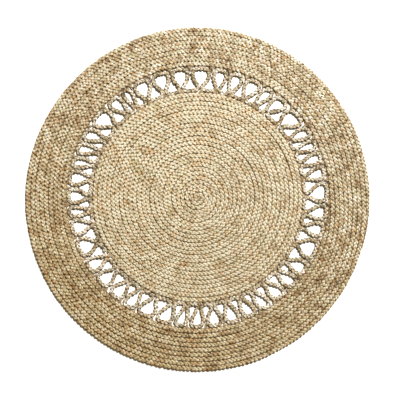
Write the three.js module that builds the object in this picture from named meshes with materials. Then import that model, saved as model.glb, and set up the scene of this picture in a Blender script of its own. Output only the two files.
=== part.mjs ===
// Round braided jute rug with an openwork ring, as a three.js scene graph.
//
// A flat centre disc is one plait wound in a coil. Around it one more plait runs in and out in
// rounded loops, and a wide border coil closes the rug. Twine tacks the loops to both coils.
// Units are millimetres. +Z is up, the floor is z = 0, and the origin is under the middle of the
// rug's outer edge.

import * as THREE from 'three';

// ---- Driving dimensions -----------------------------------------------------------------------

const DISC_BRAID_WIDTH = 15.25; // one round of the centre coil, with its share of the seam
const DISC_ROUNDS = 24;
const BORDER_BRAID_WIDTH = 15.6;
const BORDER_ROUNDS = 9;
const BRAID_THICKNESS = 9;
const OPENWORK_BAND_WIDTH = 93.6; // from the disc's edge to the border's inner edge
const LOOP_CORD_WIDTH = 13.4;
const LOOP_CORD_THICKNESS = 8;
const LOOPS = 44;
const CORD_LENGTHS = 4; // the looped plait is spliced from this many lengths
const FIELD_SHIFT = 7; // how far the hand-sewn disc and loops sit off the border's middle
const TWINE_DIAMETER = 2.2;
const WRAP_LENGTH = 16; // twine wound round each splice of the looped plait
const WRAP_THICKNESS = 1.2;

const SEAM_GAP = 0.3; // between plaits sewn side by side
const LOOP_GAP = 1.3; // between neighbouring loops at their widest
const COIL_CORNERS = 44; // corners in each outer round of a coil
const STEP_CORNERS = 4; // corners over which a border round steps out to the next
const CORNERS_PER_LOOP = 16;
const HEART_RADIUS = 1; // the pinhole that the coil starts around

const DISC_STEP_ANGLE = THREE.MathUtils.degToRad(196); // where the disc's coil ends
const BORDER_STEP_CORNER = 41; // the corner where the border's coil starts and ends

// ---- Sizes that follow from them --------------------------------------------------------------

const DISC_RADIUS = DISC_BRAID_WIDTH * DISC_ROUNDS;
const BORDER_INNER_RADIUS = DISC_RADIUS + OPENWORK_BAND_WIDTH;
const RUG_RADIUS = BORDER_INNER_RADIUS + BORDER_BRAID_WIDTH * BORDER_ROUNDS;
const FULL_TURN = 2 * Math.PI;

// A coil's corners are joined by straight sides, which reach inside the true circle by this share.
const SIDE_DEPTH = 1 - Math.cos(Math.PI / COIL_CORNERS);

// ---- Sections, drawn in unit width and unit height --------------------------------------------

function shapeFrom(points) {
  return new THREE.Shape(points.map(([across, up]) => new THREE.Vector2(across, up)));
}

// A sewn round is flat below and narrower on top, so a groove shows between rounds.
const COIL_SECTION = shapeFrom([[-0.5, 0], [0.5, 0], [0.41, 1], [-0.41, 1]]);

const CORD_OUTLINE = [[-0.35, 0], [0.35, 0], [0.5, 0.5], [0.35, 1], [-0.35, 1], [-0.5, 0.5]];
const CORD_SECTION = shapeFrom(CORD_OUTLINE);

const TWINE_SECTION = shapeFrom([[0, 0], [0.5, 0.5], [0, 1], [-0.5, 0.5]]);

// ---- Bending a straight bar along a route -----------------------------------------------------

// ExtrudeGeometry makes a straight bar with one slice per corner of the route. Its z counts the
// slices, and place(slice, across, up) says where each corner of a slice really lies.
function bentBar(section, sliceCount, place) {
  const steps = sliceCount - 1;
  const bar = new THREE.ExtrudeGeometry(section, { depth: steps, steps, bevelEnabled: false });
  const position = bar.getAttribute('position');
  for (let i = 0; i < position.count; i += 1) {
    const slice = Math.round(position.getZ(i));
    const point = place(slice, position.getX(i), position.getY(i));
    position.setXYZ(i, point.x, point.y, point.z);
  }
  bar.deleteAttribute('uv');
  bar.computeVertexNormals();
  return bar;
}

// The disc and the loops lie off the middle, and the border's rounds take up the difference, so
// that its outermost round is true.
function onRug(radius, angle, height) {
  const outward = (radius - BORDER_INNER_RADIUS) / (RUG_RADIUS - BORDER_INNER_RADIUS);
  const shift = FIELD_SHIFT * (1 - THREE.MathUtils.clamp(outward, 0, 1));
  return new THREE.Vector3(
    radius * Math.cos(angle),
    radius * Math.sin(angle) + shift,
    height,
  );
}

// ---- Coils ------------------------------------------------------------------------------------

// The radius of a coil's seam: it keeps to a circle for most of the turn, then steps out to the
// next one over the last part of it.
function seamRadius(coil, round, turnPart) {
  const stepPart = coil.stepPart(round);
  const climb = THREE.MathUtils.smoothstep(turnPart, 1 - stepPart, 1);
  return coil.innerRadius + coil.braidWidth * (round + climb);
}

// The corners of a coil, clockwise from its heart. Both ends are tapered: each is as wide as the
// room between the coil's edge and the round beside it.
function coilCorners(coil) {
  const corners = [];
  for (let round = -1; round < coil.rounds; round += 1) {
    const count = coil.cornersIn(Math.max(round, 0));
    for (let i = 0; i < count; i += 1) {
      const turnPart = i / count;
      const inner = Math.max(seamRadius(coil, round, turnPart), coil.innerRadius);
      const outer = Math.min(seamRadius(coil, round + 1, turnPart), coil.outerRadius);
      if (outer - inner > coil.tipWidth) {
        corners.push({ inner, outer, angle: coil.startAngle - turnPart * FULL_TURN });
      }
    }
  }
  return corners;
}

function coilGeometry(coil) {
  const corners = coilCorners(coil);
  return bentBar(COIL_SECTION, corners.length, (slice, across, up) => {
    const { inner, outer, angle } = corners[slice];
    const middle = (inner + outer) / 2;
    const width = outer - inner - SEAM_GAP;
    const fullness = Math.min(1, 0.4 + (0.7 * width) / coil.braidWidth);
    return onRug(middle + across * width, angle, up * BRAID_THICKNESS * fullness);
  });
}

// Small rounds need fewer corners than large ones.
function discCornersIn(round) {
  if (round < 4) {
    return COIL_CORNERS / 4;
  }
  return round < 14 ? COIL_CORNERS / 2 : COIL_CORNERS;
}

// The centre coil begins as a plain spiral, and its step gets shorter round by round.
const centreCoil = {
  innerRadius: HEART_RADIUS,
  outerRadius: DISC_RADIUS,
  braidWidth: (DISC_RADIUS - HEART_RADIUS) / DISC_ROUNDS,
  rounds: DISC_ROUNDS,
  tipWidth: DISC_BRAID_WIDTH * 0.3,
  startAngle: DISC_STEP_ANGLE,
  cornersIn: discCornersIn,
  stepPart: (round) => Math.pow(STEP_CORNERS / COIL_CORNERS, Math.max(round, 0) / DISC_ROUNDS),
};

const borderCoil = {
  innerRadius: BORDER_INNER_RADIUS,
  outerRadius: RUG_RADIUS,
  braidWidth: BORDER_BRAID_WIDTH,
  rounds: BORDER_ROUNDS,
  tipWidth: BORDER_BRAID_WIDTH * 0.12,
  startAngle: (BORDER_STEP_CORNER / COIL_CORNERS) * FULL_TURN,
  cornersIn: () => COIL_CORNERS,
  stepPart: () => STEP_CORNERS / COIL_CORNERS,
};

// ---- The looped plait -------------------------------------------------------------------------

const LOOP_ANGLE = FULL_TURN / LOOPS;
const BAND_INNER = DISC_RADIUS + SEAM_GAP;
const BAND_OUTER = BORDER_INNER_RADIUS * (1 - SIDE_DEPTH) - SEAM_GAP;
const BAND_MIDDLE = (BAND_INNER + BAND_OUTER) / 2;
const LOOP_REACH = (BAND_OUTER - BAND_INNER - LOOP_CORD_WIDTH) / 2;

// Here the maker took a wider bite, which squeezes the loops on both sides of it.
const WIDE_BITES = [39, 140, 173, 281, 332].map(THREE.MathUtils.degToRad);
const WIDE_BITE = 0.3; // how much wider such a loop is than the rest

// Hand-laid loops: their spacing swells and shrinks, and they lean one way and then the other.
// Each wave goes round the ring a whole number of times, so the ring closes.
function spacingDrift(loop) {
  const turn = (FULL_TURN * loop) / LOOPS;
  const loopsPerRadian = LOOPS / FULL_TURN;
  const waves = 0.22 * Math.sin(3 * turn + 1.1)
    + 0.1 * Math.sin(7 * turn + 0.4)
    + 0.05 * Math.sin(16 * turn);
  return WIDE_BITES.reduce((drift, place) => {
    const past = turn - place;
    const near = Math.exp(loopsPerRadian ** 2 * (Math.cos(past) - 1));
    return drift + WIDE_BITE * loopsPerRadian * Math.sin(past) * near;
  }, waves);
}

function lean(loop) {
  const turn = (FULL_TURN * loop) / LOOPS;
  return 0.17 * Math.sin(2 * turn + 2.6) + 0.1 * Math.sin(5 * turn + 0.9);
}

function loopAngle(loop, radius) {
  const slant = (Math.tan(lean(loop)) * (radius - BAND_MIDDLE)) / BAND_MIDDLE;
  return LOOP_ANGLE * (loop + spacingDrift(loop)) + slant;
}

// The shape of one loop, with phase 0 at an outer crown and half a turn at an inner one. The
// limbs cross below the middle, so the openings under the border are the taller ones.
const LOW_CROSSING = 0.2;
const INNER_SQUARENESS = 0.1;
const OUTER_SQUARENESS = 0.5;
const FLANK_SQUARENESS = 0.05;

// How far out the plait is, from 1 beside the border to -1 beside the disc. A round crown would
// be the cosine alone. Sewn to a coil, the crown is squarer.
function outwardAt(phase) {
  const level = Math.cos(phase) - LOW_CROSSING * Math.sin(phase) ** 2;
  const squareness = THREE.MathUtils.mapLinear(level, -1, 1, INNER_SQUARENESS, OUTER_SQUARENESS);
  return THREE.MathUtils.lerp(level, Math.sin((Math.PI / 2) * level), squareness);
}

// How far round the ring the plait is, in loops.
function sidewaysAt(phase, swing) {
  return phase / FULL_TURN + swing * (Math.sin(2 * phase) + FLANK_SQUARENESS * Math.sin(6 * phase));
}

function widestPoint(swing) {
  const tries = 60;
  let widest = 0;
  for (let i = 1; i <= tries; i += 1) {
    widest = Math.max(widest, sidewaysAt((i / tries) * (Math.PI / 2), swing));
  }
  return widest;
}

// The swing that makes a loop just meet its neighbours at this radius.
function fittingSwing(loop, radius) {
  const nearby = 0.05;
  const spread = loopAngle(loop + nearby, radius) - loopAngle(loop - nearby, radius);
  const spacing = (radius * spread) / (2 * nearby);
  const cordShare = (LOOP_CORD_WIDTH + LOOP_GAP) / (spacing * Math.cos(lean(loop)));
  const halfWidth = (1 - cordShare) / 2;
  let swing = 0.2;
  for (let i = 0; i < 6; i += 1) {
    swing += halfWidth - widestPoint(swing);
  }
  return swing;
}

// The plait's centre line. loop counts from 0 to LOOPS, and each whole number is an outer crown.
function loopPoint(loop) {
  const phase = FULL_TURN * loop;
  const outerSwing = fittingSwing(loop, BAND_MIDDLE + 0.5 * LOOP_REACH);
  const innerSwing = fittingSwing(loop, BAND_MIDDLE - 0.8 * LOOP_REACH);
  const swing = THREE.MathUtils.mapLinear(Math.cos(phase), -1, 1, innerSwing, outerSwing);
  const radius = BAND_MIDDLE + LOOP_REACH * outwardAt(phase);
  return onRug(radius, loopAngle(sidewaysAt(phase, swing), radius), 0);
}

function loopDirection(loop) {
  const nearby = 0.002;
  return loopPoint(loop + nearby).sub(loopPoint(loop - nearby)).normalize();
}

function toTheLeftOf(direction) {
  return new THREE.Vector3(-direction.y, direction.x, 0);
}

// Inside a wrap the plait is squeezed, so that the wrap clears the floor and the plait's top.
const SQUEEZE = 1 - (2 * (WRAP_THICKNESS + SEAM_GAP)) / LOOP_CORD_THICKNESS;

// A splice lies a quarter loop on from a crown, where the plait crosses the open ring.
function spliceAt(index) {
  return (LOOPS / CORD_LENGTHS) * index + 0.25;
}

function cordCorners(index) {
  const start = spliceAt(index);
  const end = spliceAt(index + 1);
  const count = Math.round((end - start) * CORNERS_PER_LOOP);
  const corners = [];
  for (let i = 0; i <= count; i += 1) {
    const loop = start + ((end - start) * i) / count;
    corners.push({ point: loopPoint(loop), direction: loopDirection(loop), squeeze: 1 });
  }
  const first = corners[0];
  const last = corners[count];
  const neck = WRAP_LENGTH / 2 + SEAM_GAP;
  const along = (corner, distance, squeeze) => ({
    point: corner.point.clone().addScaledVector(corner.direction, distance),
    direction: corner.direction,
    squeeze,
  });
  return [
    along(first, SEAM_GAP / 2, SQUEEZE),
    along(first, neck, SQUEEZE),
    ...corners.slice(1, count),
    along(last, -neck, SQUEEZE),
    along(last, -SEAM_GAP / 2, SQUEEZE),
  ];
}

function cordGeometry(index) {
  const corners = cordCorners(index);
  return bentBar(CORD_SECTION, corners.length, (slice, across, up) => {
    const { point, direction, squeeze } = corners[slice];
    const side = toTheLeftOf(direction).multiplyScalar(across * LOOP_CORD_WIDTH * squeeze);
    const height = (0.5 + (up - 0.5) * squeeze) * LOOP_CORD_THICKNESS;
    return point.clone().add(side).setZ(height);
  });
}

// A wrap is a short sleeve round both ends of a splice.
function wrapGeometry(index) {
  const centre = loopPoint(spliceAt(index));
  const direction = loopDirection(spliceAt(index));
  const left = toTheLeftOf(direction);
  const width = LOOP_CORD_WIDTH * SQUEEZE;
  const height = LOOP_CORD_THICKNESS * SQUEEZE;
  const outline = (spare) => CORD_OUTLINE.map(([across, up]) => [
    across * (width + 2 * spare),
    (up - 0.5) * (height + 2 * spare),
  ]);
  const section = shapeFrom(outline(SEAM_GAP + WRAP_THICKNESS));
  section.holes.push(shapeFrom(outline(SEAM_GAP)));
  return bentBar(section, 2, (slice, across, up) => centre.clone()
    .addScaledVector(direction, (slice - 0.5) * WRAP_LENGTH)
    .addScaledVector(left, across)
    .setZ(LOOP_CORD_THICKNESS / 2 + up));
}

// ---- Tacking twine ----------------------------------------------------------------------------

// The twine lies in the groove between a coil's edge and the crowns of the loops, and its two
// ends meet at a knot. It has a corner wherever the coil beside it has one.
function twineGeometry(radius, startAngle) {
  const count = COIL_CORNERS;
  const low = BRAID_THICKNESS - TWINE_DIAMETER - SEAM_GAP;
  return bentBar(TWINE_SECTION, count + 1, (slice, across, up) => {
    const knotGap = slice === count ? (2 * SEAM_GAP) / radius : 0;
    const angle = startAngle - (slice / count) * FULL_TURN + knotGap;
    return onRug(radius + across * TWINE_DIAMETER, angle, low + up * TWINE_DIAMETER);
  });
}

// ---- Materials --------------------------------------------------------------------------------

function fibre(colour, roughness = 0.95) {
  return new THREE.MeshStandardMaterial({ color: colour, roughness, metalness: 0 });
}

const paleJute = fibre('#cbb895');
const goldenJute = fibre('#b9a27c');
const loopJute = fibre('#c6b48f');
const brownTwine = fibre('#7d6242', 0.9);

// ---- The rug ----------------------------------------------------------------------------------

const rug = new THREE.Group();
rug.name = 'rug';

function add(name, geometry, material) {
  const mesh = new THREE.Mesh(geometry, material);
  mesh.name = name;
  rug.add(mesh);
}

add('centre_coil', coilGeometry(centreCoil), paleJute);
add('border_coil', coilGeometry(borderCoil), goldenJute);
for (let i = 0; i < CORD_LENGTHS; i += 1) {
  add(`loop_cord_${i + 1}`, cordGeometry(i), loopJute);
  add(`splice_wrap_${i + 1}`, wrapGeometry(i), brownTwine);
}
add('inner_tacking_twine', twineGeometry(DISC_RADIUS + SEAM_GAP, DISC_STEP_ANGLE), brownTwine);
add('outer_tacking_twine', twineGeometry(BORDER_INNER_RADIUS - SEAM_GAP, 0), brownTwine);

export default rug;
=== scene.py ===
# %% [markdown]
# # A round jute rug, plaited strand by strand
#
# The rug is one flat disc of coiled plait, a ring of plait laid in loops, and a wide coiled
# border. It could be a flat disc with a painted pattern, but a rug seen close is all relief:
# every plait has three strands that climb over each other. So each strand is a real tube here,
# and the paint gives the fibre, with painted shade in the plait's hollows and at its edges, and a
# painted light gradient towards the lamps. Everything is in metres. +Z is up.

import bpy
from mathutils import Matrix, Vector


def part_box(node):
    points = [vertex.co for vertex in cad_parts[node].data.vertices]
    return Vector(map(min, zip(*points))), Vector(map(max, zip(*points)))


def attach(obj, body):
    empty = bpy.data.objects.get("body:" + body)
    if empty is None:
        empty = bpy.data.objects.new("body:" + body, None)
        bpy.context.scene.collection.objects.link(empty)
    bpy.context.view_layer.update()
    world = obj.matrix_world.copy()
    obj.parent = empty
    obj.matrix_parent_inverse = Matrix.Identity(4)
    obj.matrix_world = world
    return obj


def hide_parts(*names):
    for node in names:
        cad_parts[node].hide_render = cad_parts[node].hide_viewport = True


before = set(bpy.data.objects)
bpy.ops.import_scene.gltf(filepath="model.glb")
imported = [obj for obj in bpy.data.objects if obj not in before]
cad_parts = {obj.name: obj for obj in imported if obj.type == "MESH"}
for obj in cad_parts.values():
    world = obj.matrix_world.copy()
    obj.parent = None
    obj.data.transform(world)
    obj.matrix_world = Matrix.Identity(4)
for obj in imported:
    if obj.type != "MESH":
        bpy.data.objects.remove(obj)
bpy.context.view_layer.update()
print("CAD nodes:", ", ".join(sorted(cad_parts)))

import math

import bpy
import numpy as np

# %% [markdown]
# ## Sizes
#
# The plaits have to lie where the frame's solids lie, so the sizes come from the boxes of those
# solids. A coil's box gives its outer radius, and its round count gives the width of a plait.

# %% Sizes of the rug
MM = 0.001
FULL_TURN = 2 * math.pi


def reach(node_name):
    """Half the width of a node's box, and how far its middle is from the origin along +Y."""
    low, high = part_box(node_name)
    return (high.x - low.x) / 2, (high.y + low.y) / 2


SEAM_GAP = 0.3 * MM
DISC_ROUNDS = 24
BORDER_ROUNDS = 9
BORDER_BRAID_WIDTH = 15.6 * MM
DISC_RADIUS = reach("centre_coil")[0] + SEAM_GAP / 2
FIELD_SHIFT = reach("centre_coil")[1]  # the hand-sewn disc and loops lie off the middle
RUG_RADIUS = reach("border_coil")[0] + SEAM_GAP / 2
BORDER_INNER_RADIUS = RUG_RADIUS - BORDER_ROUNDS * BORDER_BRAID_WIDTH
BRAID_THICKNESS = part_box("border_coil")[1].z
LOOP_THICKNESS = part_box("loop_cord_1")[1].z
print(f"disc {DISC_RADIUS:.4f} m, border {BORDER_INNER_RADIUS:.4f} to {RUG_RADIUS:.4f} m")
print(f"plait {BRAID_THICKNESS:.4f} m thick, disc shifted {FIELD_SHIFT:.4f} m")

# %% [markdown]
# ## Where a coil's rounds run
#
# A hand-sewn coil isn't an even spiral. Each round keeps to a circle, and steps out to the next
# one over a short stretch, so the rug's edge looks truly round. Near the heart there is no room
# for that, and the step takes the whole turn. The seam between two rounds follows the same rule,
# and a round fills the room between its two seams, which also tapers both ends.

# %% The seams of a coil
COIL_CORNERS = 44  # the frame's coils have this many corners in a round
STEP_SHARE = 4 / COIL_CORNERS  # of an outer turn


def on_rug(radius, angle):
    """Points on the floor. The disc and loops lie off the middle, and the border evens it out."""
    outward = (radius - BORDER_INNER_RADIUS) / (RUG_RADIUS - BORDER_INNER_RADIUS)
    shift = FIELD_SHIFT * (1 - np.clip(outward, 0, 1))
    return np.stack([radius * np.cos(angle), radius * np.sin(angle) + shift, 0 * radius], 1)


def smoothstep(value):
    value = np.clip(value, 0, 1)
    return value * value * (3 - 2 * value)


def long_then_short(round_number):
    """The share of a turn that a disc round's step takes: all of it at the heart."""
    return np.power(STEP_SHARE, np.clip(round_number, 0, None) / DISC_ROUNDS)


def always_short(round_number):
    return STEP_SHARE + 0 * round_number


def seam_radius(turn, inner_radius, braid_width, step_share):
    """The radius of the seam inside the round that holds this turn."""
    round_number = np.floor(turn)
    share = step_share(round_number)
    climb = smoothstep((turn - round_number - 1 + share) / share)
    return inner_radius + braid_width * (round_number + climb)


# %% The middle line of a coil
HEART_RADIUS = 1 * MM
DISC_START = math.radians(196)
BORDER_START = 41 / COIL_CORNERS * FULL_TURN  # the border's ends are tucked in at the lower right
DISC_TIP = 0.3  # a tapering end stops at this share of the plait's width
BORDER_TIP = 0.12
SAMPLES_PER_TURN = 360


def coil_route(inner_radius, outer_radius, rounds, tip, start_angle, step_share):
    """The middle line of a coil from its heart outwards, with the plait's width all along."""
    braid_width = (outer_radius - inner_radius) / rounds
    turn = np.arange(-SAMPLES_PER_TURN, rounds * SAMPLES_PER_TURN) / SAMPLES_PER_TURN
    inner = seam_radius(turn, inner_radius, braid_width, step_share)
    outer = seam_radius(turn + 1, inner_radius, braid_width, step_share)
    inner = np.maximum(inner, inner_radius)
    outer = np.minimum(outer, outer_radius)
    kept = (outer - inner) > tip * braid_width
    turn, inner, outer = turn[kept], inner[kept], outer[kept]
    angle = start_angle - turn * FULL_TURN
    return {
        "middle": on_rug((inner + outer) / 2, angle),
        "width": outer - inner,
        "seam": on_rug(inner, angle),
    }


def distance_along(points):
    """How far each point is from the first one, along the line."""
    return np.concatenate([[0], np.cumsum(np.linalg.norm(np.diff(points, axis=0), axis=1))])


disc_route = coil_route(
    HEART_RADIUS, DISC_RADIUS, DISC_ROUNDS, DISC_TIP, DISC_START, long_then_short,
)
border_route = coil_route(
    BORDER_INNER_RADIUS, RUG_RADIUS, BORDER_ROUNDS, BORDER_TIP, BORDER_START, always_short,
)
print(f"disc plait {distance_along(disc_route['middle'])[-1]:.1f} m")
print(f"border plait {distance_along(border_route['middle'])[-1]:.1f} m")

# %% [markdown]
# ## Where the looped plait runs
#
# The plait goes out to the border and back to the disc 44 times, and swings sideways on the way,
# so that each loop is widest near its crown and just meets its neighbour. A list of points by
# hand would be long and stiff. One formula does it, with slow waves added for the uneven spacing
# and the lean that hand-laid loops have.

# %% The spacing and the lean of the loops
LOOPS = 44
LOOP_WIDTH = 13.4 * MM
LOOP_GAP = 1.3 * MM  # between neighbouring loops at their widest
LOOP_ANGLE = FULL_TURN / LOOPS
BAND_INNER = DISC_RADIUS + SEAM_GAP
BAND_OUTER = BORDER_INNER_RADIUS * math.cos(math.pi / COIL_CORNERS) - SEAM_GAP
BAND_MIDDLE = (BAND_INNER + BAND_OUTER) / 2
LOOP_REACH = (BAND_OUTER - BAND_INNER - LOOP_WIDTH) / 2
# Each wave has its size, its count round the ring, and where it starts.
SPACING_WAVES = [(0.22, 3, 1.1), (0.1, 7, 0.4), (0.05, 16, 0.0)]  # sizes in loops
LEAN_WAVES = [(0.17, 2, 2.6), (0.1, 5, 0.9)]  # sizes in radians
WIDE_BITES = np.radians([39, 140, 173, 281, 332])  # where the maker took a wider bite
WIDE_BITE = 0.3  # how hard it pushes the loops beside it away


def waves(kinds, turn):
    return sum(size * np.sin(count * turn + start) for size, count, start in kinds)


def spacing_drift(loop):
    """How far a loop lies from its even place, in loops."""
    turn = LOOP_ANGLE * loop
    loops_per_radian = LOOPS / FULL_TURN
    drift = waves(SPACING_WAVES, turn)
    for place in WIDE_BITES:
        near = np.exp(loops_per_radian ** 2 * (np.cos(turn - place) - 1))
        drift = drift + WIDE_BITE * loops_per_radian * np.sin(turn - place) * near
    return drift


def lean(loop):
    return waves(LEAN_WAVES, LOOP_ANGLE * loop)


def loop_angle(loop, radius):
    slant = np.tan(lean(loop)) * (radius - BAND_MIDDLE) / BAND_MIDDLE
    return LOOP_ANGLE * (loop + spacing_drift(loop)) + slant


# %% The shape of one loop
LOW_CROSSING = 0.2  # the limbs cross below the middle, so the outer openings are the taller ones
INNER_SQUARENESS = 0.1
OUTER_SQUARENESS = 0.5
FLANK_SQUARENESS = 0.05


def outward_at(phase):
    """How far out the plait is, from 1 beside the border to -1 beside the disc."""
    level = np.cos(phase) - LOW_CROSSING * np.sin(phase) ** 2
    squareness = INNER_SQUARENESS + (OUTER_SQUARENESS - INNER_SQUARENESS) * (level + 1) / 2
    return level + squareness * (np.sin(math.pi / 2 * level) - level)


def sideways_at(phase, swing):
    """How far round the ring the plait is, in loops."""
    return phase / FULL_TURN + swing * (np.sin(2 * phase) + FLANK_SQUARENESS * np.sin(6 * phase))


# %% The swing that fits, and the route
WIDEST_SWING = 0.5  # in loops
TRIES = 200
NEARBY = 0.05  # loops to either side, between which the spacing is measured
OUTER_FLANK = 0.5  # where loops meet, in reaches out from the band's middle
INNER_FLANK = -0.8
SAMPLES_PER_LOOP = 160


def fitting_swing(loop, radius):
    """The swing that makes a loop just meet its neighbours at this radius."""
    spread = loop_angle(loop + NEARBY, radius) - loop_angle(loop - NEARBY, radius)
    spacing = radius * spread / (2 * NEARBY)
    cord_share = (LOOP_WIDTH + LOOP_GAP) / (spacing * np.cos(lean(loop)))
    swings = np.linspace(0, WIDEST_SWING, TRIES)
    flank = np.linspace(0, math.pi / 2, TRIES)
    widest = sideways_at(flank[:, None], swings[None, :]).max(axis=0)
    return np.interp((1 - cord_share) / 2, widest, swings)


def loop_points(loop):
    """The middle of the plait. loop counts from 0 to LOOPS, and whole numbers are outer crowns."""
    phase = FULL_TURN * loop
    outer_swing = fitting_swing(loop, BAND_MIDDLE + OUTER_FLANK * LOOP_REACH)
    inner_swing = fitting_swing(loop, BAND_MIDDLE + INNER_FLANK * LOOP_REACH)
    swing = inner_swing + (outer_swing - inner_swing) * (np.cos(phase) + 1) / 2
    radius = BAND_MIDDLE + LOOP_REACH * outward_at(phase)
    return on_rug(radius, loop_angle(sideways_at(phase, swing), radius))


def loop_route(start, end):
    loop = np.linspace(start, end, int((end - start) * SAMPLES_PER_LOOP) + 1)
    return {"middle": loop_points(loop), "width": np.full(len(loop), LOOP_WIDTH)}


print(f"looped plait {distance_along(loop_route(0, LOOPS)['middle'])[-1]:.1f} m")

# %% [markdown]
# ## One helper that turns arrays into a mesh
#
# Nearly seventy metres of plait is far too much for modifiers or for a loop over single
# vertices. numpy works out every ring at once, and the mesh takes the arrays whole. Three
# things ride along for the materials: where each point lies along and around its own strand,
# how high and how near the edge it lies in its plait, and a UV map that lays the long tubes
# in rows like lines of text.

# %% One tube
UP = np.array([0.0, 0.0, 1.0])
SHORTEST = 1e-12  # keeps a vector of no length from dividing by nothing


def unit(vectors):
    return vectors / np.maximum(np.linalg.norm(vectors, axis=1, keepdims=True), SHORTEST)


def tube(centre, half_width, half_height, sides, along_start=0.0):
    """A closed tube of oval section along centre. half_width lies flat and half_height upright."""
    count = len(centre)
    tangent = unit(np.gradient(centre, axis=0))
    left = unit(np.cross(UP, tangent))
    upright = np.cross(tangent, left)
    around = FULL_TURN * np.arange(sides) / sides
    cosine, sine = np.cos(around)[None, :, None], np.sin(around)[None, :, None]
    across = left[:, None] * cosine * half_width[:, None, None]
    rise = upright[:, None] * sine * half_height[:, None, None]
    inside = np.empty((count, sides, 3))
    inside[:, :, 0] = (along_start + distance_along(centre))[:, None]
    inside[:, :, 1] = cosine[:, :, 0] * half_width[:, None]
    inside[:, :, 2] = sine[:, :, 0] * half_height[:, None]
    ring = np.arange(count - 1)[:, None] * sides
    here = ring + np.arange(sides)[None, :]
    beside = ring + (np.arange(sides)[None, :] + 1) % sides
    return {
        "points": (centre[:, None] + across + rise).reshape(-1, 3),
        "inside": inside.reshape(-1, 3),
        "plait": np.tile([0.0, 1.0, 0.0], (count * sides, 1)),
        "quads": np.stack([here, beside, beside + sides, here + sides], 2).reshape(-1, 4),
        "caps": np.array([np.arange(sides)[::-1], np.arange(sides) + (count - 1) * sides]),
        "count": count,
        "sides": sides,
    }


# %% UVs in rows
ROW_SHAPE = 0.45  # a quad's length against its height in the map: the way round gets more room
ROW_FOOT = 0.06  # the empty part below a row's quads
ROW_FILL = 0.88  # the part of a row's height that they take
ROW_INDENT = 0.3  # the empty part of a quad's length before a row


def text_rows(tubes, loop_count):
    """UVs of the quads, with all the tubes' segments laid end to end in rows."""
    sides = tubes[0]["sides"]
    segments = sum(t["count"] - 1 for t in tubes)
    row_count = max(1, round(math.sqrt(segments / sides * ROW_SHAPE)))
    row_length = math.ceil(segments / row_count)
    serial = np.arange(segments)
    row, column = serial // row_length, serial % row_length
    step_u, step_v = 1 / (row_length + 1), 1 / row_count
    low_u = column * step_u + ROW_INDENT * step_u
    low_v = (row + ROW_FOOT) * step_v
    side_v = ROW_FILL * step_v / sides
    here = np.arange(sides)
    uv = np.zeros((segments, sides, 4, 2))
    uv[:, :, (0, 1), 0] = low_u[:, None, None]
    uv[:, :, (2, 3), 0] = (low_u + step_u)[:, None, None]
    uv[:, :, (0, 3), 1] = (low_v[:, None] + side_v * here)[:, :, None]
    uv[:, :, (1, 2), 1] = (low_v[:, None] + side_v * (here + 1))[:, :, None]
    return np.concatenate([uv.reshape(-1, 2), np.zeros((loop_count - uv.size // 2, 2))])


# %% One piece from many tubes
def mesh_of(name, tubes, material):
    offsets = np.cumsum([0] + [len(t["points"]) for t in tubes])
    points = np.concatenate([t["points"] for t in tubes])
    quads = np.concatenate([t["quads"] + o for t, o in zip(tubes, offsets)])
    caps = [t["caps"] + o for t, o in zip(tubes, offsets)]
    loops = np.concatenate([quads.ravel()] + [c.ravel() for c in caps])
    totals = np.concatenate([np.full(len(quads), 4)] + [np.full(2, c.shape[1]) for c in caps])
    mesh = bpy.data.meshes.new(name)
    mesh.vertices.add(len(points))
    mesh.vertices.foreach_set("co", points.astype(np.float32).ravel())
    mesh.loops.add(len(loops))
    mesh.loops.foreach_set("vertex_index", loops.astype(np.int32))
    mesh.polygons.add(len(totals))
    mesh.polygons.foreach_set("loop_start", (np.cumsum(totals) - totals).astype(np.int32))
    mesh.polygons.foreach_set("use_smooth", np.ones(len(totals), bool))
    mesh.update(calc_edges=True)
    for attribute, key in (("strand_space", "inside"), ("plait_space", "plait")):
        values = np.concatenate([t[key] for t in tubes]).astype(np.float32)
        made = mesh.attributes.new(attribute, "FLOAT_VECTOR", "POINT")
        made.data.foreach_set("vector", values.ravel())
    uv_map = mesh.uv_layers.new(name="OFBake")
    uv_map.data.foreach_set("uv", text_rows(tubes, len(loops)).astype(np.float32).ravel())
    mesh.materials.append(material)
    piece = bpy.data.objects.new(name, mesh)
    bpy.context.scene.collection.objects.link(piece)
    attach(piece, "root")
    print(f"{name}: {len(totals)} faces")
    return piece


# %% [markdown]
# ## Three strands make a plait
#
# In a flat plait each strand swings from side to side once per repeat, and goes over and under
# twice. A sine for the swing and a sine of twice the angle for the height give exactly that, and
# the three strands run a third of a repeat apart. Where two strands cross, one lies on the
# other, which fixes how thick a strand can be. A little smooth noise keeps the hand in it.

# %% How the hand varies
PLAIT_REPEAT = 42 * MM
RINGS_PER_REPEAT = 16
BY_HAND = {  # how much it varies, and over how many repeats
    "tension": (0.06, 2.5),  # the plait's width
    "wander": (0.9 * MM, 2),  # how far it strays from its line
    "pace": (0.16, 3),  # longer and shorter repeats
    "slip": (0.3, 0.9),  # one strand ahead of the others, in radians
    "plump": (0.2, 0.45),  # one lobe fuller and flatter than the next
    "swing": (0.08, 0.7),  # how far to the side a strand goes
}


def smooth_noise(length, spacing, rng):
    """Noise from -1 to 1 along a strand, with one random value per spacing of samples."""
    knots = rng.uniform(-1, 1, int(length / spacing) + 3)
    place = np.arange(length) / spacing
    low = np.floor(place).astype(int)
    blend = smoothstep(place - low)
    return knots[low] * (1 - blend) + knots[low + 1] * blend


def by_hand(kind, count, rng):
    size, repeats = BY_HAND[kind]
    return size * smooth_noise(count, RINGS_PER_REPEAT * repeats, rng)


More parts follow.
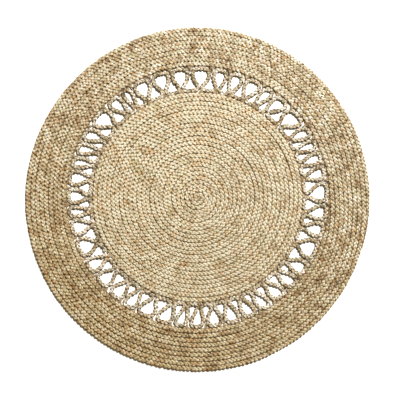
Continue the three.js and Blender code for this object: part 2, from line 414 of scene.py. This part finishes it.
# %% The plait
STRAND_SIDES = 8
STRAND_WIDTH_SHARE = 0.49  # of the plait's width
NESTING = 1.1  # sewn plaits are pressed together, so their lobes reach a little past the seam
CROSSING = math.sqrt(3)  # how far apart two strands are where they cross, in swings of height
TIP_FULLNESS = 0.4  # a tapering end is also thinner
FULLNESS_GAIN = 0.7
LONGEST_OFFSET = 50  # metres along the pattern, so that no two strands look alike


def spread_evenly(points, count):
    """The same line with evenly spaced points, and how far along it they lie."""
    along = distance_along(points)
    distance = np.linspace(0, along[-1], count)
    path = np.stack([np.interp(distance, along, points[:, axis]) for axis in range(3)], 1)
    return path, distance, along


def plait(route, thickness, seed, repeat=PLAIT_REPEAT):
    """The three strands of a plait, as tubes."""
    rng = np.random.default_rng(seed)
    length = distance_along(route["middle"])[-1]
    count = int(length / repeat * RINGS_PER_REPEAT) + 1
    path, distance, along = spread_evenly(route["middle"], count)
    tension = 1 + by_hand("tension", count, rng)
    width = np.interp(distance, along, route["width"]) * NESTING * tension
    fullness = np.minimum(1, TIP_FULLNESS + FULLNESS_GAIN * width / width.max()) * thickness
    left = unit(np.cross(UP, np.gradient(path, axis=0)))
    path = path + left * by_hand("wander", count, rng)[:, None]
    swing_height = fullness / (2 + CROSSING)
    strand_height = CROSSING * swing_height
    strand_width = STRAND_WIDTH_SHARE * width
    turns = np.cumsum(1 + by_hand("pace", count, rng)) / RINGS_PER_REPEAT
    strands = []
    for strand in range(3):
        phase = FULL_TURN * (turns + strand / 3) + by_hand("slip", count, rng)
        plump = 1 + by_hand("plump", count, rng)
        side = (width - strand_width) / 2 * np.sin(phase) * (1 + by_hand("swing", count, rng))
        height = fullness / 2 + swing_height * np.sin(2 * phase)
        centre = path + left * side[:, None] + UP * height[:, None]
        made = tube(
            centre, strand_width / 2 * plump, strand_height / 2 * (2 - plump), STRAND_SIDES,
            along_start=rng.uniform(0, LONGEST_OFFSET),
        )
        offset = made["points"].reshape(count, -1, 3) - path[:, None]
        from_middle = np.abs((offset * left[:, None]).sum(axis=2)) / (width[:, None] / 2)
        level = offset[:, :, 2] / thickness
        made["plait"] = np.stack([from_middle, level, 0 * level], 2).reshape(-1, 3)
        strands.append(made)
    return strands


# %% [markdown]
# ## Materials
#
# Jute is a dull straw-coloured bast fibre. It has no gloss and hardly any translucence, but much
# variation: one strand is paler than the next, and brown bark flecks stay in the fibre. The
# hollows between strands fall into shade, and that shade is painted into the colour here. A
# picture of jute could be wrapped on, but its fibres would run straight across every bend. These
# patterns are laid out along each strand in real millimetres instead, so the fibres run with the
# strand, round every loop.

# %% Colours and nodes
def colour(code):
    """A linear colour from an sRGB hex code such as #c8b592."""
    channels = [int(code[i:i + 2], 16) / 255 for i in (1, 3, 5)]
    linear = [c / 12.92 if c <= 0.04045 else ((c + 0.055) / 1.055) ** 2.4 for c in channels]
    return (*linear, 1)


def node(material, kind, settings=None, links=None):
    """Adds a node. Settings and links are keyed by an input's name or number, or by a property.

    The setting "stops" is a colour ramp's list of (position, colour).
    """
    made = material.node_tree.nodes.new(kind)
    for key, value in (settings or {}).items():
        if key == "stops":
            elements = made.color_ramp.elements
            while len(elements) < len(value):
                elements.new(0.5)
            for element, (position, shade) in zip(elements, value):
                element.position = position
                element.color = shade
        elif isinstance(key, int) or key in made.inputs:
            made.inputs[key].default_value = value
        else:
            setattr(made, key, value)
    for key, source in (links or {}).items():
        material.node_tree.links.new(source, made.inputs[key])
    return made


def new_material(name):
    material = bpy.data.materials.new(name)
    material.use_nodes = True
    material.node_tree.nodes.clear()
    return material


# %% The patterns in jute
PAST_STRAND = 40 * MM  # wider than a strand, so such a pattern changes only along it
PATTERNS = {  # length along the strand, width across it, detail
    # A real fibre is a tenth of this width, too fine to show, so bundles of fibre are drawn.
    "fibres": (22 * MM, 0.8 * MM, 3.0),
    # One lobe of a strand, from where it comes up to where it goes under.
    "lobes": (9 * MM, PAST_STRAND, 1.0),
    # A hank of fibre is laid in, and the next one has another tint.
    "hanks": (80 * MM, 5 * PAST_STRAND, 2.0),
    # Bark that was left on the fibre.
    "flecks": (8 * MM, 2.6 * MM, 2.0),
}
PATTERN_ROUGHNESS = 0.6
MOTTLE_SIZE = 30 * MM  # patches that neighbouring rounds share, from damp and wear


def jute_patterns(material):
    """The output of each pattern's noise, from 0 to 1."""
    strand = node(material, "ShaderNodeAttribute", {"attribute_name": "strand_space"})
    outputs = {}
    for key, (length, width, detail) in PATTERNS.items():
        scaled = node(
            material, "ShaderNodeVectorMath",
            {"operation": "MULTIPLY", 1: (1 / length, 1 / width, 1 / width)},
            {0: strand.outputs["Vector"]},
        )
        outputs[key] = node(
            material, "ShaderNodeTexNoise",
            {"Scale": 1.0, "Detail": detail, "Roughness": PATTERN_ROUGHNESS},
            {"Vector": scaled.outputs[0]},
        ).outputs["Fac"]
    outputs["place"] = node(material, "ShaderNodeTexCoord").outputs["Object"]
    outputs["mottles"] = node(
        material, "ShaderNodeTexNoise", {"Scale": 1 / MOTTLE_SIZE, "Detail": 2.0},
        {"Vector": outputs["place"]},
    ).outputs["Fac"]
    return outputs


# %% Painted shade in the hollows of a plait
WHITE = (1, 1, 1, 1)
HOLLOW_SHADE_LEVELS = (0.45, 0.82)  # shares of the plait's thickness, from full painted shade to clear
EDGE_SHADE_START, EDGE_SHADE_END = 0.6, 0.95  # shares of the plait's half width, where the painted edge shade starts and where it is full


def hollow_shade(material, hollow_shade_colour, edge_shade_colour):
    """Painted shade that darkens the fibre low in a plait, in its middle and at its edges."""
    plait_place = node(material, "ShaderNodeAttribute", {"attribute_name": "plait_space"})
    in_plait = node(material, "ShaderNodeSeparateXYZ", {}, {0: plait_place.outputs["Vector"]})
    low, high = HOLLOW_SHADE_LEVELS
    shades = [
        node(
            material, "ShaderNodeValToRGB", {"stops": [(low, colour(code)), (high, WHITE)]},
            {0: in_plait.outputs["Y"]},
        ).outputs[0]
        for code in (hollow_shade_colour, edge_shade_colour)
    ]
    edge_shade_share = node(
        material, "ShaderNodeMapRange", {"From Min": EDGE_SHADE_START, "From Max": EDGE_SHADE_END},
        {"Value": in_plait.outputs["X"]},
    )
    return node(
        material, "ShaderNodeMix", {"data_type": "RGBA"},
        {0: edge_shade_share.outputs[0], 6: shades[0], 7: shades[1]},
    ).outputs[2]


# %% The jute
MOTTLE_SHARE = 0.45  # of the tone, and the lobes give the rest
TONE_STOPS = (0.34, 0.5, 0.63)
HANK_STOPS = (0.36, 0.5, 0.64)
FIBRE_STOPS = [(0.32, (0.5, 0.5, 0.5, 1)), (0.66, (1.18, 1.18, 1.18, 1))]
FLECK_FADE = 0.05
PAINTED_LIGHT_DIRECTION = (0.45, 0.9, 0)  # towards the lamps: the painted light gradient is lighter on this side
FIBRE_RELIEF = 0.6 * MM


def jute(name, tones, tints, hollow_shade_colour, fleck, fleck_level, edge_shade_colour=None, painted_light_gradient=None, roughness=0.92):
    """Jute whose patterns run along each strand.

    tones go from dark to pale, and tints from warm to cool. A higher fleck_level leaves fewer
    flecks. The hollow and edge colours are painted shade, low in the plait and at its edges. The
    light gradient is painted light: what the base is multiplied by on the side away from the lamps
    and on the side towards them.
    """
    material = new_material(name)
    pattern = jute_patterns(material)
    tone = node(
        material, "ShaderNodeMix", {"data_type": "FLOAT", 0: MOTTLE_SHARE},
        {2: pattern["lobes"], 3: pattern["mottles"]},
    )
    base = node(
        material, "ShaderNodeValToRGB", {"stops": list(zip(TONE_STOPS, map(colour, tones)))},
        {0: tone.outputs[0]},
    ).outputs[0]

    warm, cool = map(colour, tints)
    layers = [  # what drives each layer, and its stops
        (pattern["hanks"], list(zip(HANK_STOPS, (warm, WHITE, cool)))),
        (pattern["fibres"], FIBRE_STOPS),
    ]
    # Painted light: a gradient across the rug, paler towards the lamps and darker away from them.
    if painted_light_gradient:
        towards_lamps = node(
            material, "ShaderNodeVectorMath", {"operation": "DOT_PRODUCT", 1: PAINTED_LIGHT_DIRECTION},
            {0: pattern["place"]},
        )
        lamp_side_share = node(
            material, "ShaderNodeMapRange", {"From Min": -RUG_RADIUS, "From Max": RUG_RADIUS},
            {"Value": towards_lamps.outputs["Value"]},
        )
        layers.append((lamp_side_share.outputs[0], list(zip((0.0, 1.0), painted_light_gradient))))
    shades = [
        node(material, "ShaderNodeValToRGB", {"stops": stops}, {0: driver}).outputs[0]
        for driver, stops in layers
    ]
    # Then the painted shade, low in the plait and at its edges.
    for shade in shades + [hollow_shade(material, hollow_shade_colour, edge_shade_colour or hollow_shade_colour)]:
        base = node(
            material, "ShaderNodeMix", {"data_type": "RGBA", "blend_type": "MULTIPLY", 0: 1.0},
            {6: base, 7: shade},
        ).outputs[2]

    fleck_mask = node(
        material, "ShaderNodeMapRange",
        {"From Min": fleck_level, "From Max": fleck_level + FLECK_FADE},
        {"Value": pattern["flecks"]},
    )
    base = node(
        material, "ShaderNodeMix", {"data_type": "RGBA", 7: colour(fleck)},
        {0: fleck_mask.outputs[0], 6: base},
    ).outputs[2]
    bump = node(
        material, "ShaderNodeBump", {"Strength": 0.7, "Distance": FIBRE_RELIEF},
        {"Height": pattern["fibres"]},
    )
    shader = node(material, "ShaderNodeBsdfPrincipled", {
        "Roughness": roughness,
        "IOR": 1.5,  # plant fibre
        "Specular IOR Level": 0.2,  # a mat of fine fibre throws back less than a smooth face
        "Sheen Weight": 0.12,
        "Sheen Tint": colour("#c8a26c"),
        "Sheen Roughness": 0.5,
    }, {"Base Color": base, "Normal": bump.outputs[0]})
    node(material, "ShaderNodeOutputMaterial", {}, {"Surface": shader.outputs[0]})
    print(f"{name}: {len(material.node_tree.nodes)} nodes")
    return material


# %% [markdown]
# ## Four kinds of jute
#
# The rug is all jute, but not all of one bale. The disc is bleached fibre, the border and the
# loops are natural, and the twine is spun. One function makes all four, because what sets them
# apart is only their tones, and four separate node trees would drift away from each other.

# %% The four finishes
# Bleached and loosely plaited: an even cream, with soft painted shade in the hollows, few flecks,
# and a painted light gradient, paler towards the lamps.
pale_jute = jute(
    "bleached_jute_plait", ("#a88f66", "#dacbab", "#e2d7bd"), ("#efd8bc", "#f0f4e6"),
    hollow_shade_colour="#bc9e68", fleck="#866440", fleck_level=0.66,
    painted_light_gradient=((0.86, 0.88, 0.89, 1), (1.07, 1.12, 1.23, 1)),
)
# Natural and loosely plaited: browner, uneven from hank to hank, painted shade in the hollows,
# and a strong painted light gradient, paler towards the lamps.
golden_jute = jute(
    "natural_jute_plait", ("#806040", "#cdb88f", "#e6dabf"), ("#dfc2a0", "#eef2e4"),
    hollow_shade_colour="#82592a", fleck="#60401f", fleck_level=0.63,
    painted_light_gradient=((0.83, 0.82, 0.77, 1), (1.12, 1.23, 1.46, 1)),
)
# Natural and plaited tight: pale crowns between nearly black painted shade in the hollows and at
# the edges, so each loop is outlined.
loop_jute = jute(
    "natural_jute_cord", ("#644e30", "#cfc1a4", "#fdf7ee"), ("#e2c8a8", "#ecf0e6"),
    hollow_shade_colour="#241204", fleck="#3a240c", fleck_level=0.61, edge_shade_colour="#3e2608",
)
# Spun and twisted: a little smoother and darker, so wraps and stitches stand out.
brown_twine = jute(
    "brown_jute_twine", ("#7a6648", "#b29c78", "#d2c09c"), ("#ecd6bc", "#f0f4e8"),
    hollow_shade_colour="#7a6448", fleck="#4a3824", fleck_level=0.66, roughness=0.85,
)

# %% [markdown]
# ## The two coils
#
# Each strand of a coil is its own piece, about 30 metres long. That keeps each mesh to a size
# that is easy to handle, and it is what a strand is on the real rug: one long bundle of fibre.

# %% Build the coils
def coil_pieces(name, node_name, route, material, seed):
    """A coil's three strands. The seed is what makes one coil's unevenness differ from another's."""
    for number, strand in enumerate(plait(route, BRAID_THICKNESS, seed), 1):
        piece = mesh_of(f"{name}_strand_{number}", [strand], material)
        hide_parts(node_name)


coil_pieces("centre", "centre_coil", disc_route, pale_jute, seed=11)
coil_pieces("border", "border_coil", border_route, golden_jute, seed=23)

# %% [markdown]
# ## The looped plait
#
# It has four lengths, and each length is one piece of three strands, because the lengths are
# what a maker would handle. Where two lengths meet, twine is wound round both ends.

# %% Build the loops
CORD_LENGTHS = 4
SPLICE_PLACE = 0.25  # loops past an outer crown, on the way back to the disc
LOOP_REPEAT = 38 * MM  # plaited a little tighter than the coils
FIRST_LOOP_SEED = 31


def splice_at(index):
    return LOOPS / CORD_LENGTHS * index + SPLICE_PLACE


def cord_route(index):
    return loop_route(splice_at(index), splice_at(index + 1))


for index in range(CORD_LENGTHS):
    route = cord_route(index)
    strands = plait(route, LOOP_THICKNESS, FIRST_LOOP_SEED + index, repeat=LOOP_REPEAT)
    cord = mesh_of(f"loop_plait_{index + 1}", strands, loop_jute)
    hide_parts(f"loop_cord_{index + 1}")
    print(f"{cord.name}: {distance_along(route['middle'])[-1]:.2f} m of plait")

# %% [markdown]
# ## Twine round the splices
#
# A maker binds each splice with a few tight turns of twine. A ring copied seven times would look
# machined, so it is one line wound in a helix, flattened to the shape of the plait. The rings of
# a plain tube need a line that lies down, and this one climbs, so it has a tube of its own kind.

# %% A tube that climbs
TWINE_SIDES = 6


def round_tube(points, radius, sides):
    """A tube that may also climb straight up: its rings turn with the line."""
    tangent = unit(np.gradient(points, axis=0))
    slanted = np.roll(tangent[0], 1) + 0.31  # any direction that the tangent doesn't have
    across = [unit(np.cross(tangent[:1], slanted[None]))[0]]
    for direction in tangent[1:]:
        turned = across[-1] - direction * (across[-1] @ direction)
        across.append(turned / np.linalg.norm(turned))
    across = np.array(across)
    upright = np.cross(tangent, across)
    around = (FULL_TURN * np.arange(sides) / sides)[None, :, None]
    ring = across[:, None] * np.cos(around) + upright[:, None] * np.sin(around)
    made = tube(points, np.full(len(points), radius), np.full(len(points), radius), sides)
    made["points"] = (points[:, None] + radius * ring).reshape(-1, 3)
    return made


# %% Build the wraps
TWINE_RADIUS = 0.9 * MM
WRAP_TURNS = 7
WRAP_PITCH = 2.1 * TWINE_RADIUS  # the turns lie side by side
WRAP_RINGS = 16  # in each turn
WRAP_HALF_WIDTH = 0.44 * LOOP_WIDTH  # the twine pulls the plait in
CLOSE_BY = 0.01  # loops to either side, between which the plait's direction is taken


def wrap_tube(index):
    middle = splice_at(index)
    centre = loop_points(np.array([middle]))[0]
    ends = loop_points(np.array([middle - CLOSE_BY, middle + CLOSE_BY]))
    forward = unit(ends[1:] - ends[:1])[0]
    left = np.cross(UP, forward)
    turns = np.linspace(0, WRAP_TURNS, WRAP_TURNS * WRAP_RINGS + 1)
    angle = FULL_TURN * turns
    spread = (turns - WRAP_TURNS / 2) * WRAP_PITCH
    half_height = LOOP_THICKNESS / 2 - TWINE_RADIUS
    points = centre + forward * spread[:, None] + left * (np.cos(angle) * WRAP_HALF_WIDTH)[:, None]
    points = points + UP * (LOOP_THICKNESS / 2 + np.sin(angle) * half_height)[:, None]
    return round_tube(points, TWINE_RADIUS, TWINE_SIDES)


for index in range(CORD_LENGTHS):
    wrap = mesh_of(f"splice_binding_{index + 1}", [wrap_tube(index)], brown_twine)
    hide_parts(f"splice_wrap_{index + 1}")

# %% [markdown]
# ## Tacking stitches
#
# The loops are sewn to the coils where two of them meet. The stitches start close together
# between the loops and fan out over the coil's edge. Each one is its own curved thread, drawn
# by a formula with a little chance in it, because stitches by hand never match.

# %% One fan of stitches
TACK_RADIUS = 1.1 * MM
TACK_SPREAD = 22 * MM  # how wide a fan is at the coil
TACK_BITE = 7 * MM  # how far a stitch reaches into the coil
TACK_LENGTH = 23 * MM
TACK_RINGS = 12
TACK_COUNTS = (7, 10)  # seven to nine in a fan
TACK_HEIGHT = 7.2 * MM
TACK_SAG = 2.2 * MM  # between its two ends
TACK_DIVE = 3.5 * MM  # at each end, where it goes into the plait
TACK_STAGGER = 0.7 * MM  # every other stitch lies on its neighbours
TACK_GATHER = 0.9  # how much narrower the fan is between the loops
GATHER_PACE = 1.15  # it is gathered a little before its end
DIVE_SHARPNESS = 8
# What chance adds to a fan and to each of its stitches
FAN_LEAN = (-3 * MM, 3 * MM)
TACK_SHIFT = (-1.5 * MM, 1.5 * MM)
TACK_SLACK = (-3 * MM, 2 * MM)
TACK_BOW = (-0.8 * MM, 0.8 * MM)
TACK_FULLNESS = (0.75, 1.1)


def fan(radius, angle, inward, rng):
    """Stitches that fan out from where two loops meet to the edge of a coil."""
    part = np.linspace(0, 1, TACK_RINGS)
    arch = np.sin(part * math.pi)
    count = rng.integers(*TACK_COUNTS)
    lean_over = rng.uniform(*FAN_LEAN)
    for number in range(count):
        spread = (number / (count - 1) - 0.5) * TACK_SPREAD + rng.uniform(*TACK_SHIFT)
        length = TACK_LENGTH + rng.uniform(*TACK_SLACK)
        outwards = radius + inward * (part * length - TACK_BITE)
        aside = spread * (1 - TACK_GATHER * smoothstep(part * GATHER_PACE)) + lean_over * part
        aside = aside + rng.uniform(*TACK_BOW) * arch
        height = TACK_HEIGHT - TACK_SAG * arch + TACK_STAGGER * (number % 2)
        height = height - TACK_DIVE * (part ** DIVE_SHARPNESS + (1 - part) ** DIVE_SHARPNESS)
        points = on_rug(outwards, angle + aside / radius) + UP * height[:, None]
        yield round_tube(points, TACK_RADIUS * rng.uniform(*TACK_FULLNESS), TWINE_SIDES)


# %% Build the tacking stitches
def meeting_angles(outer):
    """The angle of each place where two neighbouring loops meet, seen from the disc's middle."""
    loop = np.arange(LOOPS) + (0.5 if outer else 0.0)
    return loop_angle(loop, BAND_OUTER if outer else BAND_INNER)


def tacking(name, node_name, radius, outer, seed):
    rng = np.random.default_rng(seed)
    tubes = []
    for angle in meeting_angles(outer):
        tubes.extend(fan(radius, angle, -1 if outer else 1, rng))
    piece = mesh_of(name, tubes, brown_twine)
    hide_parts(node_name)


tacking("inner_tacking_stitches", "inner_tacking_twine", DISC_RADIUS, outer=False, seed=51)
tacking("outer_tacking_stitches", "outer_tacking_twine", BORDER_INNER_RADIUS, outer=True, seed=52)

# %% [markdown]
# ## Sewing thread
#
# Each coil is sewn to itself with two threads that zigzag from round to round and cross in the
# groove, as a lock stitch does. Little of them shows, but without them the floor would glint
# through every groove.

# %% Build the sewing threads
THREAD_RADIUS = 1.1 * MM
THREAD_PITCH = 14 * MM
THREAD_STEPS = 5  # rings in each zigzag
THREAD_SWING = 2.4 * MM
THREAD_HEIGHT = 2.6 * MM
THREAD_RISE = 0.8 * MM  # one thread passes this far over or under the other's height
THREAD_SIDES = 4


def sewing_thread(name, node_name, route):
    seam = route["seam"]
    along = distance_along(seam)
    distance = np.arange(0, along[-1], THREAD_PITCH / THREAD_STEPS)
    path = np.stack([np.interp(distance, along, seam[:, axis]) for axis in range(3)], 1)
    left = unit(np.cross(UP, np.gradient(path, axis=0)))
    radius = np.full(len(path), THREAD_RADIUS)
    phase = FULL_TURN * distance / THREAD_PITCH
    threads = []
    for side in (-1, 1):
        thread = path + left * (side * THREAD_SWING * np.sin(phase))[:, None]
        thread = thread + UP * (THREAD_HEIGHT + side * THREAD_RISE * np.cos(phase))[:, None]
        threads.append(tube(thread, radius, radius, THREAD_SIDES))
    piece = mesh_of(name, threads, brown_twine)
    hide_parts(node_name)


sewing_thread("centre_sewing_thread", "centre_coil", disc_route)
sewing_thread("border_sewing_thread", "border_coil", border_route)

# %% [markdown]
# ## Loose fibres
#
# Jute sheds, and short fibres stand up out of every plait. Particle hair could do it, but it
# would not be a mesh that other programs can read. So each fibre is a very thin curved tube,
# with its root in a plait and its tip in the air.

# %% One loose fibre
FIBRE_RADIUS = 0.16 * MM  # a few real fibres that cling together
FIBRE_TAPER = 0.6  # how much thinner the tip is
FIBRE_RINGS = 6
FIBRE_SIDES = 3
ROOT_DEPTH = 1.2 * MM  # below the top of the plait
# What chance gives each fibre
FIBRE_LENGTHS = (7 * MM, 22 * MM)
ROOT_PLACES = (-0.4, 0.4)  # shares of the plait's width
HEADING_SPREAD = 0.7  # radians away from the plait's own direction, forwards or back
BEND_SPREAD = 0.25
ARCH_HEIGHTS = (0.8 * MM, 2.4 * MM)
ARCH_SPANS = (1.4, 3.0)  # radians: a short arch only climbs, and a long one comes down again


def loose_fibre(route, thickness, rng):
    middle, width = route["middle"], route["width"]
    at = rng.integers(1, len(middle) - 1)
    forward = unit(middle[at + 1:at + 2] - middle[at - 1:at])[0]
    heading = rng.normal(0, HEADING_SPREAD) + (math.pi if rng.random() < 0.5 else 0)
    left = np.cross(UP, forward)
    direction = forward * math.cos(heading) + left * math.sin(heading)
    bend = np.cross(UP, direction) * rng.normal(0, BEND_SPREAD)
    length = rng.uniform(*FIBRE_LENGTHS)
    part = np.linspace(0, 1, FIBRE_RINGS)[:, None]
    root = middle[at] + left * width[at] * rng.uniform(*ROOT_PLACES)
    arch = rng.uniform(*ARCH_HEIGHTS) * np.sin(part * rng.uniform(*ARCH_SPANS))
    rise = thickness - ROOT_DEPTH + arch
    points = root + length * (direction * part + bend * part ** 2) + UP * rise
    radius = FIBRE_RADIUS * (1 - FIBRE_TAPER * part[:, 0])
    return tube(points, radius, radius, FIBRE_SIDES, along_start=rng.uniform(0, LONGEST_OFFSET))


# %% Build the loose fibres
CENTRE_FIBRES = 700
BORDER_FIBRES = 900
CORD_FIBRES = 60
FIRST_CORD_FIBRE_SEED = 63


def loose_fibres(name, node_name, route, thickness, count, material, seed):
    rng = np.random.default_rng(seed)
    tubes = [loose_fibre(route, thickness, rng) for _ in range(count)]
    piece = mesh_of(name, tubes, material)
    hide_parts(node_name)


loose_fibres(
    "centre_loose_fibres", "centre_coil", disc_route, BRAID_THICKNESS, CENTRE_FIBRES,
    pale_jute, seed=61,
)
loose_fibres(
    "border_loose_fibres", "border_coil", border_route, BRAID_THICKNESS, BORDER_FIBRES,
    golden_jute, seed=62,
)
for index in range(CORD_LENGTHS):
    loose_fibres(
        f"loop_loose_fibres_{index + 1}", f"loop_cord_{index + 1}", cord_route(index),
        LOOP_THICKNESS, CORD_FIBRES, loop_jute, seed=FIRST_CORD_FIBRE_SEED + index,
    )

# %% [markdown]
# ## Floor and backdrop
#
# The rug lies on a plain white floor. A floor alone ends in a dark line when it is seen from
# low down, so a wall of lit paper stands round it. The wall shows to the eye, but it casts no
# light and no shadow, because its light would fill the hollows that give the plait its relief.

# %% Floor
FLOOR_REACH = 12.0
FLOOR_DROP = 0.4 * MM  # the lowest strands sink this far, so nothing cuts the floor
CORNERS = [(-1, -1), (1, -1), (1, 1), (-1, 1)]
floor_mesh = bpy.data.meshes.new("floor")
floor_mesh.from_pydata([(x * FLOOR_REACH, y * FLOOR_REACH, 0) for x, y in CORNERS], [], [(0, 1, 2, 3)])
floor = bpy.data.objects.new("floor", floor_mesh)
floor.location.z = -FLOOR_DROP
bpy.context.scene.collection.objects.link(floor)
# Matt painted board: white with a breath of cream, and no shine.
white_board = new_material("matt_white_board")
board = node(white_board, "ShaderNodeBsdfPrincipled", {
    "Base Color": colour("#fcfaf6"), "Roughness": 1.0, "Specular IOR Level": 0.0,
})
node(white_board, "ShaderNodeOutputMaterial", {}, {"Surface": board.outputs[0]})
floor_mesh.materials.append(white_board)
print(f"floor {2 * FLOOR_REACH:.0f} m wide, {FLOOR_DROP / MM:.1f} mm down")

# %% Backdrop
WALL_SIDES = 48
WALL_FOOT, WALL_TOP = -1.0, 14.0
wall_angle = [FULL_TURN * k / WALL_SIDES for k in range(WALL_SIDES)]
wall_ring = [(FLOOR_REACH * math.cos(a), FLOOR_REACH * math.sin(a)) for a in wall_angle]
wall_faces = []
for k in range(WALL_SIDES):
    following = (k + 1) % WALL_SIDES
    wall_faces.append((k, following, WALL_SIDES + following, WALL_SIDES + k))
wall_mesh = bpy.data.meshes.new("backdrop")
wall_mesh.from_pydata([(x, y, z) for z in (WALL_FOOT, WALL_TOP) for x, y in wall_ring], [], wall_faces)
backdrop = bpy.data.objects.new("backdrop", wall_mesh)
bpy.context.scene.collection.objects.link(backdrop)
backdrop.visible_diffuse = False
backdrop.visible_glossy = False
backdrop.visible_shadow = False
# Paper lit from behind: the same white everywhere.
lit_paper = new_material("lit_white_paper")
glow = node(lit_paper, "ShaderNodeEmission", {"Color": WHITE, "Strength": 1.0})
node(lit_paper, "ShaderNodeOutputMaterial", {}, {"Surface": glow.outputs[0]})
wall_mesh.materials.append(lit_paper)
print(f"backdrop: {len(wall_faces)} faces, {WALL_TOP:.0f} m high")

# %% [markdown]
# ## Light
#
# A plait needs light from one side, so that every lobe has a bright side and a dark one. Half of
# it comes from a soft lamp near the rug, which is brighter on its own side. The other half comes
# from a far one in the same direction, which reaches all of the floor alike. A dim, warm
# surround stands for the light that jute throws back, and keeps the shade brown.

# %% Lights
KEY_PLACE = (2.2, 4.0, 4.2)
NEAR_KEY_POWER = 370
NEAR_KEY_SIZE = 1.0
FAR_KEY_STRENGTH = 3.06
SURROUND_STRENGTH = 0.2
scene = bpy.context.scene
scene.view_settings.view_transform = "Standard"
surround = bpy.data.worlds.new("surround")
surround.use_nodes = True
background = surround.node_tree.nodes["Background"]
background.inputs["Color"].default_value = colour("#ffebc4")
background.inputs["Strength"].default_value = SURROUND_STRENGTH
scene.world = surround


def key_light(name, kind, energy):
    """A light at KEY_PLACE, aimed at the rug's middle."""
    data = bpy.data.lights.new(name, kind)
    data.energy = energy
    light = bpy.data.objects.new(name, data)
    light.location = KEY_PLACE
    light.rotation_euler = (-light.location).to_track_quat("-Z", "Y").to_euler()
    scene.collection.objects.link(light)
    return data


near_key = key_light("near_key", "AREA", NEAR_KEY_POWER)
near_key.shape = "DISK"
near_key.size = NEAR_KEY_SIZE
far_key = key_light("far_key", "SUN", FAR_KEY_STRENGTH)
far_key.angle = math.radians(9)  # as wide as the near one looks
print(f"surround {SURROUND_STRENGTH}, keys {NEAR_KEY_POWER} W and {FAR_KEY_STRENGTH} W/m2")

# %% [markdown]
# ## Camera
#
# The rug is looked at from straight above, which keeps it a true circle. The lens is worked out
# from the height and from how much of the view the rug takes.

# %% Camera
CAMERA_HEIGHT = 3.0
OFF_MIDDLE = (8.2 * MM, -2.3 * MM)  # the rug isn't quite centred in the view
SENSOR = 36.0
RUG_SHARE_OF_VIEW = 0.8603
camera_data = bpy.data.cameras.new("camera")
camera_data.sensor_width = SENSOR
view_width = 2 * RUG_RADIUS / RUG_SHARE_OF_VIEW
camera_data.lens = SENSOR * (CAMERA_HEIGHT - BRAID_THICKNESS) / view_width
camera = bpy.data.objects.new("camera", camera_data)
camera.location = (*OFF_MIDDLE, CAMERA_HEIGHT)
scene.collection.objects.link(camera)
scene.camera = camera
print(f"lens {camera_data.lens:.1f} mm, view {view_width:.3f} m wide")
